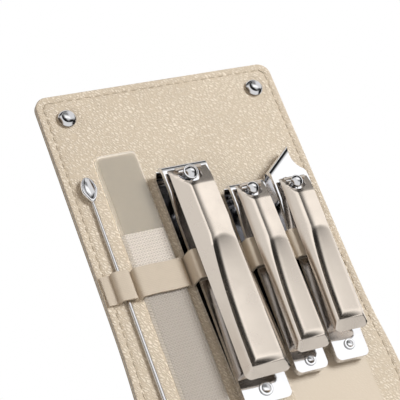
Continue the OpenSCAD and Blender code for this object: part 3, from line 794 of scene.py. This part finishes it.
def strap_loops():
    """Inner sides and inner height of each loop, from left to right."""
    y = (STRAP_LOW.y + STRAP_HIGH.y) / 2
    rod = (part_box("ear_pick")[0].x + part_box("ear_pick")[1].x) / 2
    low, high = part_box("nail_file")
    loops = [(rod - 2 * MM, rod + 2 * MM, 2.1 * MM), (low.x - STRAP_EASE, high.x + STRAP_EASE, 2.1 * MM)]
    for name in CLIPPERS:
        middle = clipper_line(name, y)
        half = CLIPPER_HALF[name] + STRAP_EASE
        if name != "large":
            half += 0.1 * MM
        loops.append((middle - half, middle + half, CLIPPER_SHANK[name]))
    return loops


def arc_points(cx, cz, r, start, end, count=7):
    return [(cx + r * math.cos(math.radians(start + (end - start) * k / count)),
             cz + r * math.sin(math.radians(start + (end - start) * k / count))) for k in range(count + 1)]


def strap_path(settings):
    """The strap's lower face in X and Z: flat where it is sewn, up and over each tool."""
    foot, r = LINING_TOP + 0.02 * MM, settings.turn
    points = [(STRAP_LOW.x, foot)]
    for x0, x1, height in strap_loops():
        top = foot + height
        small = min(0.7 * MM, height * 0.3)
        rise = min(r, height - small)
        points += arc_points(x0 - rise, foot + rise, rise, -90, 0)
        points += arc_points(x0 + small, top - small, small, 180, 90, 5)
        points += arc_points(x1 - small, top - small, small, 90, 0, 5)
        points += arc_points(x1 + rise, foot + rise, rise, 180, 270)
    points.append((STRAP_HIGH.x, foot))
    fine = [points[0]]
    for point in points[1:]:
        run = math.hypot(point[0] - fine[-1][0], point[1] - fine[-1][1])
        if run < 0.02 * MM:
            continue
        start, count = fine[-1], max(1, round(run / (0.9 * MM)))
        fine += [(start[0] + (point[0] - start[0]) * k / count, start[1] + (point[1] - start[1]) * k / count)
                 for k in range(1, count + 1)]
    return fine


class MANICURE_OT_strap(bpy.types.Operator):
    """Lead one elastic strap up and over every tool"""
    bl_idname = "manicure.strap"
    bl_label = "Strap"

    def execute(self, context):
        settings = context.scene.manicure_strap
        path = strap_path(settings)
        across = [0, 0.08, 0.25, 0.6, 1.4, 2.6, 3.6, 4.6]
        width = (STRAP_HIGH.y - STRAP_LOW.y) / MM
        across = [STRAP_LOW.y + v * MM for v in across + [width - v for v in reversed(across[:-1])]]

        def place(i, j):
            x, z = path[i]
            y = across[j]
            wave = 0.25 * MM * noise.noise(Vector((x * 160, z * 160, 1.3)))
            return Vector((x, y + wave, z))

        piece = sheet_grid("strap_band", len(path) - 1, len(across) - 1, place)
        thicken(piece, settings.thickness, 1.0)
        bevel(piece, 0.22 * MM, 60)
        apply_modifiers(piece)
        smooth(piece, 50)
        dress(piece, strap_material(settings))
        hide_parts("elastic_strap")
        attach(piece, "base")
        return {"FINISHED"}


class LeverShape:
    """The pressed back of one lever, in millimetres in the clipper's own frame."""
    REACH = {"large": 73.6, "medium": 59.1, "slant": 59.2}
    BACK = {"large": 5.2, "medium": 4.1, "slant": 6.6}
    NECK = {"large": 1.4, "medium": 1.1, "slant": 1.1}
    HEAD = {"large": 0.95, "medium": 0.85, "slant": 0.85}
    START = {"large": 2.2, "medium": 1.6, "slant": 2.9}
    WIDTH = {"large": 14.6, "medium": 11.2, "slant": 11.4}
    JAW = {"large": 8, "medium": 7, "slant": 7}
    ARCH = {"large": 0.66, "medium": 0.665, "slant": 0.665}
    ROUND = {"large": 0.0, "medium": 1.0, "slant": 1.0}
    height, taper, rim, slope, corner = 2.9, 1.6, 1.1, 3.2, 1.8
    crease_d, thumb, thumb_run = 0.7, 0.9, 4.8
    crease_place, crease_rise, crease_power = -0.33, 0.21, 2.6
    wall_w, end_wall, wall_power, across_power = 3.2, 2.6, 1.6, 1.5
    right_bevel, bevel_loss, bevel_run, least_bevel, right_rim = 0.1, 0.03, 6, 0.5, 0.6
    arch_bow = 0.16
    ramp_slope, ramp_ahead, ramp_sag, ramp_press = 0.36, 0.9, 1.2, 0.8
    bar_r, bar_lead, bar_lift, bar_reach = 0.5, 0.6, 1.3, 1.5
    tail, clearance = 0.4, 0.3
    hole_wide, hole_room, hole_ahead, head_high = 1.5, 0.25, 0.1, 1.9
    blend, blend_share = 0.12, 0.55

    def __init__(self, name):
        self.name = name
        self.width = self.WIDTH[name]
        self.start = self.START[name]
        self.post = self.REACH[name] - self.BACK[name]
        self.axis = self.post + self.NECK[name] + self.bar_lead
        self.head = self.NECK[name] + self.HEAD[name]
        self.arch = self.start + (self.axis - self.start) * self.ARCH[name]
        self.end = self.axis + self.tail
        self.foot = self.JAW[name] + self.clearance
        self.round = self.ROUND[name]

    def crease(self, v):
        t = min(max((v - self.start) / (self.arch - self.start), 0), 1)
        return self.width * (self.crease_place + self.crease_rise * t ** self.crease_power)

    def ridge(self, v):
        right = self.width * (self.right_bevel - self.bevel_loss * ease((v - self.arch) / self.bevel_run))
        return min(self.width / 2 - right, self.flat_half(v) - self.least_bevel)

    def flat_half(self, v):
        return self.width / 2 - self.taper / 2 * (v - self.start) / (self.axis - self.start)

    def half(self, v):
        c = max(self.corner - v + self.start, 0)
        return self.flat_half(v) - self.corner + math.sqrt(max(self.corner ** 2 - c * c, 0))

    def soft_min(self, values):
        low, k = min(values), self.blend
        return low - k * math.log(sum(math.exp(-(v - low) / k) for v in values)) * self.blend_share

    def shoulder(self, t):
        """Height of the left bevel: straight, or rounded over, from its edge at 0 to the crease at 1."""
        bent = 1 - (1 - min(max(t, 0), 1)) ** 2 + max(t - 1, 0)
        return self.rim + (self.height - self.rim) * (t + (bent - t) * self.round)

    def shade(self, u, v):
        """Painted shade for the plating's colour: 1 where the thumb rest starts under its arch, fading towards
        the tail.
        """
        h, c, r = self.flat_half(v), self.crease(v), self.ridge(v)
        below = self.arch - v - self.arch_bow * (u - (c + r) / 2) ** 2
        across = min(max((u - c) / (h - c), 0), 1)
        return ease(below / 1.2) * math.exp(-max(below, 0) / 9) * ease((u - c) / 1.5) * (1 - across ** 3)

    def back(self, u, v):
        h, c, r = self.flat_half(v), self.crease(v), self.ridge(v)
        rise = self.height - self.rim
        facets = self.soft_min([self.shoulder((u + h) / (c + h)),
                                self.rim + self.right_rim + (rise - self.right_rim) * (h - u) / (h - r),
                                self.rim + rise * (v - self.start) / self.slope, self.height])
        arch = max(self.arch - v - self.arch_bow * (u - (c + r) / 2) ** 2, 0)
        depth = self.crease_d + self.thumb * (1 - math.exp(-arch / self.thumb_run))
        inside = min(max(min((u - c) / self.wall_w, (v - self.start - self.slope) / self.end_wall), 0), 1)
        across = min(max((u - c) / (h - c), 0), 1)
        pressed = depth * (1 - (1 - inside) ** self.wall_power) * (1 - across ** self.across_power)
        sag = ease((u + h) / (c + h))
        ahead = v - self.post + self.head + self.ramp_ahead + self.ramp_sag * sag
        ramp = self.height - self.ramp_slope * ahead - self.ramp_press * pressed
        return self.soft_min([facets - pressed, ramp])

    def columns(self, v):
        h, c, r = self.flat_half(v), self.crease(v), self.ridge(v)
        marks = [(-h, 7), (c, 16), (c + self.wall_w, 13), (r, 6), (h, 0)]
        us = []
        for (a, count), (b, _) in zip(marks, marks[1:]):
            us += steps(a, b, count)
        us.append(h)
        return [u * self.half(v) / h for u in us]

    def rows(self):
        vs = [self.start + self.corner * t for t in (0, 0.03, 0.1, 0.22, 0.4, 0.65)]
        vs += steps(self.start + self.corner, self.start + self.slope + self.end_wall, 18)
        vs += steps(self.start + self.slope + self.end_wall, self.arch - 9, 32)
        vs += steps(self.arch - 9, self.arch + 2, 40)
        vs += steps(self.arch + 2, self.post - self.head - 4, 14)
        vs += steps(self.post - self.head - 4, self.end, 44)
        return vs + [self.end]

    def matrix(self):
        ax, ay, _ = JOINTS[f"{self.name}_clipper_slide"]["axis"]
        origin = Vector(JOINTS[f"{self.name}_lever_lift"]["pos_m"])
        turn = Matrix.Rotation(-math.atan2(ax, ay), 4, "Z")
        local = turn.inverted() @ origin
        shift = Matrix.Translation((local.x, local.y - self.axis * MM, LINING_TOP))
        return turn @ shift @ Matrix.Scale(MM, 4)


def hole_distance(shape, u, v):
    """Distance from the slotted oval hole over the post, and the way to its rim; negative inside."""
    hole = shape.head + shape.hole_room
    top = shape.foot + shape.bar_lift + shape.bar_lead + shape.head_high
    back = math.hypot(shape.axis - shape.post + shape.head, top - shape.foot - shape.head_high) + 0.2
    back -= shape.axis - shape.post + hole
    du, dv = u / shape.hole_wide, v - min(max(v, shape.post - back), shape.post + shape.hole_ahead)
    reach = math.hypot(du, dv) or 1e-6
    return reach - hole, du / reach * shape.hole_wide, dv / reach


def cut_hole(piece, shape):
    """Opens the hole over the post and draws the cells at its rim onto its outline."""
    for vertex in piece.data.vertices:
        vertex.select = hole_distance(shape, vertex.co.x, vertex.co.y)[0] < 0.02
    with editing(piece, pick=None):
        bpy.ops.mesh.delete(type="VERT")
        bpy.ops.mesh.select_all(action="DESELECT")
        bpy.ops.mesh.select_non_manifold()
    for vertex in piece.data.vertices:
        gap, du, dv = hole_distance(shape, vertex.co.x, vertex.co.y)
        if vertex.select and gap < 0.75:
            on_back = vertex.co.z > shape.foot + 0.01
            vertex.co.x -= du * gap
            vertex.co.y = min(vertex.co.y - dv * gap, shape.end)
            if on_back:
                vertex.co.z = shape.foot + shape.back(vertex.co.x, vertex.co.y)


SHELL = 0.7


def pressed_lever(name):
    shape = LeverShape(name)
    rows = shape.rows()
    columns = [shape.columns(v) for v in rows]

    def place(i, j):
        u = columns[j][i]
        return Vector((u, rows[j], shape.foot + shape.back(u, rows[j])))

    piece = sheet_grid(f"{name}_lever_shell", len(columns[0]) - 1, len(rows) - 1, place)
    with editing(piece, "EDGE"):
        bpy.ops.mesh.region_to_loop()
        bpy.ops.mesh.extrude_edges_move()
    for vertex in piece.data.vertices:
        if vertex.select:
            vertex.co.z = shape.foot
    cut_hole(piece, shape)
    with editing(piece):
        bpy.ops.mesh.normals_make_consistent(inside=False)
    if max(piece.data.polygons, key=lambda face: face.center.z).normal.z < 0:
        piece.data.flip_normals()
    bevel(piece, 0.28, 38)
    thicken(piece, SHELL).use_even_offset = False
    apply_modifiers(piece)
    # Painted shade under each thumb rest's arch, stored on the vertices to darken the plating's colour.
    tone = piece.data.attributes.new("thumb_rest", "FLOAT", "POINT")
    for vertex in piece.data.vertices:
        tone.data[vertex.index].value = shape.shade(vertex.co.x, vertex.co.y)
    bpy.ops.object.select_all(action="DESELECT")
    bpy.ops.mesh.primitive_cylinder_add(vertices=20, radius=shape.bar_r, depth=3 * shape.head + shape.bar_reach,
                                        rotation=(0, math.pi / 2, 0),
                                        location=(0, shape.axis, shape.foot + shape.bar_lift))
    bar = bpy.context.object
    bpy.ops.object.transform_apply()
    piece = join([piece, bar], f"{name}_lever_shell")
    piece.data.transform(shape.matrix())
    smooth(piece, 40)
    return piece


class MANICURE_OT_levers(bpy.types.Operator):
    """Press the three levers with their bevels, creases and thumb rests"""
    bl_idname = "manicure.levers"
    bl_label = "Levers"

    def execute(self, context):
        settings = context.scene.manicure_tools
        # The satin plating is darkened by painted shade under each thumb rest's arch.
        skin = metal_material("satin_plating", settings.lever, 0.24, 0.04, 0.003 * MM, "thumb_rest")
        for name in CLIPPERS:
            piece = pressed_lever(name)
            dress(piece, skin)
            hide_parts(f"{name}_lever")
            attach(piece, f"{name}_lever")
        return {"FINISHED"}


def copy_of(node):
    """A welded copy of a solid, to be finished as a piece of its own."""
    piece = NODES[node].copy()
    piece.data = NODES[node].data.copy()
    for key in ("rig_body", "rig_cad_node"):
        if key in piece:
            del piece[key]
    bpy.context.collection.objects.link(piece)
    piece.parent = None
    piece.name = piece.data.name = node + "_metal"
    with editing(piece):
        bpy.ops.mesh.remove_doubles(threshold=1e-6)
        bpy.ops.mesh.dissolve_limited(angle_limit=math.radians(0.5))
    return piece


def finished_copy(node, body, skin, width, degrees=30, shape=None):
    piece = copy_of(node)
    if shape:
        shape(piece)
    bevel(piece, width, degrees)
    apply_modifiers(piece)
    smooth(piece, 35)
    even = piece.modifiers.new("even", "WEIGHTED_NORMAL")
    even.keep_sharp, even.weight = True, 100
    apply_modifiers(piece)
    dress(piece, skin)
    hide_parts(node)
    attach(piece, body)
    return piece


STUD_DISH_R, STUD_DISH, STUD_FLAT = 2.1 * MM, 0.6 * MM, 0.6 * MM
RIVET_DISH, RIVET_DISH_LOW, RIVET_WALL, RIVET_SHARE, RIVET_RINGS = 0.3 * MM, 0.2 * MM, 0.3 * MM, 0.74, 5
HAIRLINE = 0.002 * MM


def dished_stud(piece):
    """Presses a shallow dish into the top of each stud."""
    places, _ = snap_places("snap_studs")
    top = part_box("snap_studs")[1].z
    for vertex in piece.data.vertices:
        out = min(math.hypot(vertex.co.x - x, vertex.co.y - y) for x, y in places)
        if out < STUD_DISH_R and vertex.co.z > top - MM:
            vertex.co.z = top - STUD_FLAT - STUD_DISH * (1 - (out / STUD_DISH_R) ** 2)


def riveted_over(piece):
    """Closes a tail rivet's bore with a shallow dish."""
    low = Vector([min(v.co[k] for v in piece.data.vertices) for k in range(3)])
    high = Vector([max(v.co[k] for v in piece.data.vertices) for k in range(3)])
    centre, radius = (low + high) / 2, (high.x - low.x) / 2 * RIVET_SHARE
    bpy.ops.object.select_all(action="DESELECT")
    bpy.ops.mesh.primitive_circle_add(vertices=40, radius=radius, fill_type="NGON",
                                      location=(centre.x, centre.y, high.z - RIVET_DISH_LOW))
    dish = bpy.context.object
    bpy.ops.object.transform_apply()
    with editing(dish, "FACE"):
        for _ in range(RIVET_RINGS):
            bpy.ops.mesh.inset(thickness=radius / (RIVET_RINGS + 1))
    for vertex in dish.data.vertices:
        out = math.hypot(vertex.co.x - centre.x, vertex.co.y - centre.y) / radius
        vertex.co.z -= RIVET_DISH * (1 - out ** 2)
    thicken(dish, RIVET_WALL)
    apply_modifiers(dish)
    join([piece, dish], piece.name)


class MANICURE_OT_clipper_metal(bpy.types.Operator):
    """Polish the clippers' arms, posts and tail rivets"""
    bl_idname = "manicure.clipper_metal"
    bl_label = "Clipper arms"

    def execute(self, context):
        settings = context.scene.manicure_tools
        skin = metal_material("mirror_chrome", settings.chrome, 0.09, 0.03, HAIRLINE)
        for name in CLIPPERS:
            for part, body in (("lower_arm", "clipper"), ("upper_arm", "upper_arm"), ("tail_rivet", "clipper"),
                               ("post", "clipper")):
                shape = riveted_over if part == "tail_rivet" else None
                finished_copy(f"{name}_{part}", f"{name}_{body}", skin, settings.bevel,
                              shape=shape)
        return {"FINISHED"}


class MANICURE_OT_snaps(bpy.types.Operator):
    """Polish the press studs and the discs behind them"""
    bl_idname = "manicure.snaps"
    bl_label = "Snaps"

    def execute(self, context):
        settings = context.scene.manicure_tools
        skin = metal_material("snap_chrome", settings.chrome, 0.1, 0.03, HAIRLINE)
        for node, body in (("snap_studs", "base"), ("stud_rivets", "base"), ("snap_sockets", "flap"),
                           ("snap_caps", "flap")):
            shape = dished_stud if node == "snap_studs" else None
            finished_copy(node, body, skin, settings.bevel, shape=shape)
        for node in ("board_base", "board_cover"):
            made, tree, shader, place = material(node + "_card")
            fibre = add(tree, "ShaderNodeTexNoise", {"Vector": place, "Scale": 900.0, "Detail": 4.0})
            card = blend_colour(tree, fibre.outputs["Fac"], (*linear(150, 142, 128), 1),
                                (*linear(176, 168, 152), 1))
            tree.links.new(card, shader.inputs["Base Color"])
            NODES[node].data.materials.clear()
            NODES[node].data.materials.append(made)
        return {"FINISHED"}


def parted_glass(piece):
    """Cuts the faces of the file where the frosting ends."""
    with editing(piece):
        bpy.ops.mesh.bisect(plane_co=(0, FROST_END, 0), plane_no=(0, 1, 0))


class MANICURE_OT_nail_file(bpy.types.Operator):
    """Frost and grind the glass file"""
    bl_idname = "manicure.nail_file"
    bl_label = "Nail file"

    def execute(self, context):
        settings = context.scene.manicure_tools
        piece = finished_copy("nail_file", "nail_file", frosted_material(settings), 0.18 * MM, 20,
                              parted_glass)
        piece.data.materials.append(clear_material(settings))
        for face in piece.data.polygons:
            face.material_index = int(face.center.y > FROST_END)
        piece.visible_shadow = False
        return {"FINISHED"}


def narrowed_scoop(piece):
    """Draws the scoop in towards the rod, like a drop."""
    low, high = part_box("ear_pick")
    middle, foot = (low.x + high.x) / 2, high.y - 9.4 * MM
    for vertex in piece.data.vertices:
        narrow = 0.34 * ease((high.y - 4.2 * MM - vertex.co.y) / (4.6 * MM)) * ease((vertex.co.y - foot) / MM)
        vertex.co.x = middle + (vertex.co.x - middle) * (1 - narrow)


class MANICURE_OT_ear_pick(bpy.types.Operator):
    """Polish the ear pick"""
    bl_idname = "manicure.ear_pick"
    bl_label = "Ear pick"

    def execute(self, context):
        settings = context.scene.manicure_tools
        skin = metal_material("pick_chrome", settings.chrome, 0.1, 0.03, HAIRLINE)
        finished_copy("ear_pick", "ear_pick", skin, 0.1 * MM, 40, narrowed_scoop)
        return {"FINISHED"}


def area_light(name, place, target, size, power):
    light = bpy.data.lights.new(name, "AREA")
    light.size, light.energy, light.color = size, power, DAYLIGHT
    made = bpy.data.objects.new(name, light)
    bpy.context.collection.objects.link(made)
    made.location = place
    made.rotation_mode = "QUATERNION"
    made.rotation_quaternion = (Vector(target) - Vector(place)).to_track_quat("-Z", "Y")
    made.visible_glossy = False


AMBIENT = 0.34
STUDIO = 0.84
WALL, WALL_AMOUNT = (-0.05, 0.06, 0.45, 0.78), 0.8
BEAM, BEAM_AMOUNT, BEAM_AXIS = (-0.3, -0.15, 0.1, 0.3), 0.55, (0.29, 0.957, 0.0)
SKIRTING, SKIRTING_AMOUNT = (-0.02, 0.04, 0.1, 0.3), 0.45
SCREEN_AMOUNT, DARKEST = 0.72, 0.02
WOOD, WARM_WALLS, DAYLIGHT = (1.0, 0.72, 0.48, 1), (1.0, 0.84, 0.68, 1), (0.96, 1.0, 1.05)
CAMERA_PLACE = (-0.18325, -0.06924, 0.36322)
CAMERA_RIGHT, CAMERA_UP = (0.88819, -0.34284, 0.30590), (0.17830, 0.87076, 0.45824)
CAMERA_FORWARD = (0.42347, 0.35246, -0.83453)
LAMP_TARGET = (0.0, 0.05, 0.0)
WINDOW = ((0.42, 0.48, 0.77), 0.87, 0.97, 0.5)
BACK_WALL = ((0.42, 0.8, 0.42), 0.86, 0.96, -0.66)
FAR_CORNER = ((-0.18, 0.95, 0.2), 0.82, 0.94, -0.7)


def between(tree, value, low, low_full, high_full, high):
    """1 while a value lies between two bounds, with soft ends."""
    return times(tree, ramp_between(tree, value, low, low_full),
                     ramp_between(tree, value, high_full, high, 1.0, 0.0))


def left_screen(tree, x):
    return ramp_between(tree, x, -0.66, -0.9)


def studio_tone(tree):
    """What the plating mirrors: a pale room with a window, a beam across it and dark walls."""
    facing = tree.nodes.new("ShaderNodeTexCoord").outputs["Generated"]
    split = add(tree, "ShaderNodeSeparateXYZ", {0: facing})
    x, z = split.outputs["X"], split.outputs["Z"]
    wall = times(tree, between(tree, z, *WALL), ramp_between(tree, x, 0.45, 0.72))
    aside = add(tree, "ShaderNodeVectorMath", {0: facing, 1: BEAM_AXIS}, operation="DOT_PRODUCT")
    beam = times(tree, between(tree, aside.outputs["Value"], *BEAM),
                     ramp_between(tree, x, 0.0, 0.3))
    tone = minus(tree, STUDIO, times(tree, wall, WALL_AMOUNT))
    tone = minus(tree, tone, times(tree, beam, BEAM_AMOUNT))
    skirting = between(tree, z, *SKIRTING)
    tone = minus(tree, tone, times(tree, skirting, SKIRTING_AMOUNT))
    for spot, far, near, amount in (WINDOW, BACK_WALL, FAR_CORNER):
        towards = add(tree, "ShaderNodeVectorMath", {0: facing, 1: spot}, operation="DOT_PRODUCT")
        share = ramp_between(tree, towards.outputs["Value"], far, near)
        tone = plus(tree, tone, times(tree, share, amount))
    screen = left_screen(tree, x)
    tone = minus(tree, tone, times(tree, screen, SCREEN_AMOUNT))
    return math_node(tree, "MAXIMUM", tone, DARKEST), screen


class MANICURE_OT_stage(bpy.types.Operator):
    """Lay the floor, set the lamps and place the camera"""
    bl_idname = "manicure.stage"
    bl_label = "Stage"

    def execute(self, context):
        settings = context.scene.manicure_stage
        scene = context.scene
        scene.view_settings.view_transform = "Standard"
        bpy.ops.object.select_all(action="DESELECT")
        bpy.ops.mesh.primitive_plane_add(size=6)
        floor = bpy.context.object
        floor.name = "floor"
        made, tree, shader, _ = material("floor")
        tree.nodes.remove(shader)
        matte = add(tree, "ShaderNodeBsdfDiffuse", {"Color": (0.9, 0.9, 0.9, 1)})
        white = add(tree, "ShaderNodeEmission", {"Color": (*settings.floor, 1), "Strength": 1.0})
        path = tree.nodes.new("ShaderNodeLightPath")
        output = tree.nodes["Material Output"]
        seen = math_node(tree, "MAXIMUM", path.outputs["Is Camera Ray"], path.outputs["Is Transmission Ray"])
        seen = math_node(tree, "MAXIMUM", seen, times(tree, path.outputs["Is Glossy Ray"], 0.5))
        mix = add(tree, "ShaderNodeMixShader", {0: seen, 1: matte.outputs[0], 2: white.outputs[0]})
        tree.links.new(mix.outputs[0], output.inputs[0])
        dress(floor, made)

        world = bpy.data.worlds.new("studio")
        scene.world = world
        world.use_nodes = True
        tree = world.node_tree
        tree.nodes.clear()
        path = tree.nodes.new("ShaderNodeLightPath")
        direct = math_node(tree, "MAXIMUM", path.outputs["Is Camera Ray"], path.outputs["Is Transmission Ray"])
        tone, screen = studio_tone(tree)
        mirrored = times(tree, path.outputs["Is Glossy Ray"], minus(tree, tone, AMBIENT))
        strength = plus(tree, times(tree, direct, 1 - AMBIENT), mirrored)
        strength = plus(tree, strength, AMBIENT)
        wooden = times(tree, screen, path.outputs["Is Glossy Ray"])
        tinted = blend_colour(tree, wooden, (1, 1, 1, 1), WOOD)
        tinted = blend_colour(tree, path.outputs["Is Diffuse Ray"], tinted, WARM_WALLS)
        sky = add(tree, "ShaderNodeBackground", {"Color": tinted, "Strength": strength})
        out = tree.nodes.new("ShaderNodeOutputWorld")
        tree.links.new(sky.outputs[0], out.inputs[0])

        area_light("key", (0.42, 0.16, 0.75), LAMP_TARGET, 0.3, 6.6)
        area_light("fill", (-0.5, -0.25, 0.6), LAMP_TARGET, 0.5, 1.1)

        lens = bpy.data.cameras.new("camera")
        lens.lens, lens.sensor_width = settings.lens, 36.0
        camera = bpy.data.objects.new("camera", lens)
        context.collection.objects.link(camera)
        turn = Matrix((CAMERA_RIGHT, CAMERA_UP, -Vector(CAMERA_FORWARD))).transposed().to_4x4()
        camera.matrix_world = Matrix.Translation(CAMERA_PLACE) @ turn
        lens.clip_start, lens.clip_end = 0.01, 20
        scene.camera = camera
        return {"FINISHED"}


STEPS = (MANICURE_OT_leather, MANICURE_OT_stitching, MANICURE_OT_strap, MANICURE_OT_levers,
         MANICURE_OT_clipper_metal, MANICURE_OT_snaps, MANICURE_OT_nail_file, MANICURE_OT_ear_pick,
         MANICURE_OT_stage)


class MANICURE_PT_pieces(bpy.types.Panel):
    """Lists the steps that dress the case"""
    bl_idname = "MANICURE_PT_pieces"
    bl_label = "Manicure Set"
    bl_space_type = "VIEW_3D"
    bl_region_type = "UI"
    bl_category = "Manicure Set"

    def draw(self, context):
        for settings in SETTINGS:
            group = getattr(context.scene, settings)
            for key in group.bl_rna.properties.keys():
                if key not in ("rna_type", "name"):
                    self.layout.prop(group, key)
        for step in STEPS:
            self.layout.operator(step.bl_idname)


SETTINGS = {"manicure_leather": LeatherSettings, "manicure_strap": StrapSettings,
            "manicure_tools": ToolSettings, "manicure_stage": StageSettings}


def register():
    for kind in (*SETTINGS.values(), *STEPS, MANICURE_PT_pieces):
        bpy.utils.register_class(kind)
    for name, kind in SETTINGS.items():
        setattr(bpy.types.Scene, name, bpy.props.PointerProperty(type=kind))


def unregister():
    for name in SETTINGS:
        delattr(bpy.types.Scene, name)
    for kind in (*SETTINGS.values(), *STEPS, MANICURE_PT_pieces):
        bpy.utils.unregister_class(kind)


def main():
    register()
    make_grain()
    make_weave()
    make_wear()
    for step in STEPS:
        group, name = step.bl_idname.split(".")
        getattr(getattr(bpy.ops, group), name)()


if __name__ == "__main__":
    main()
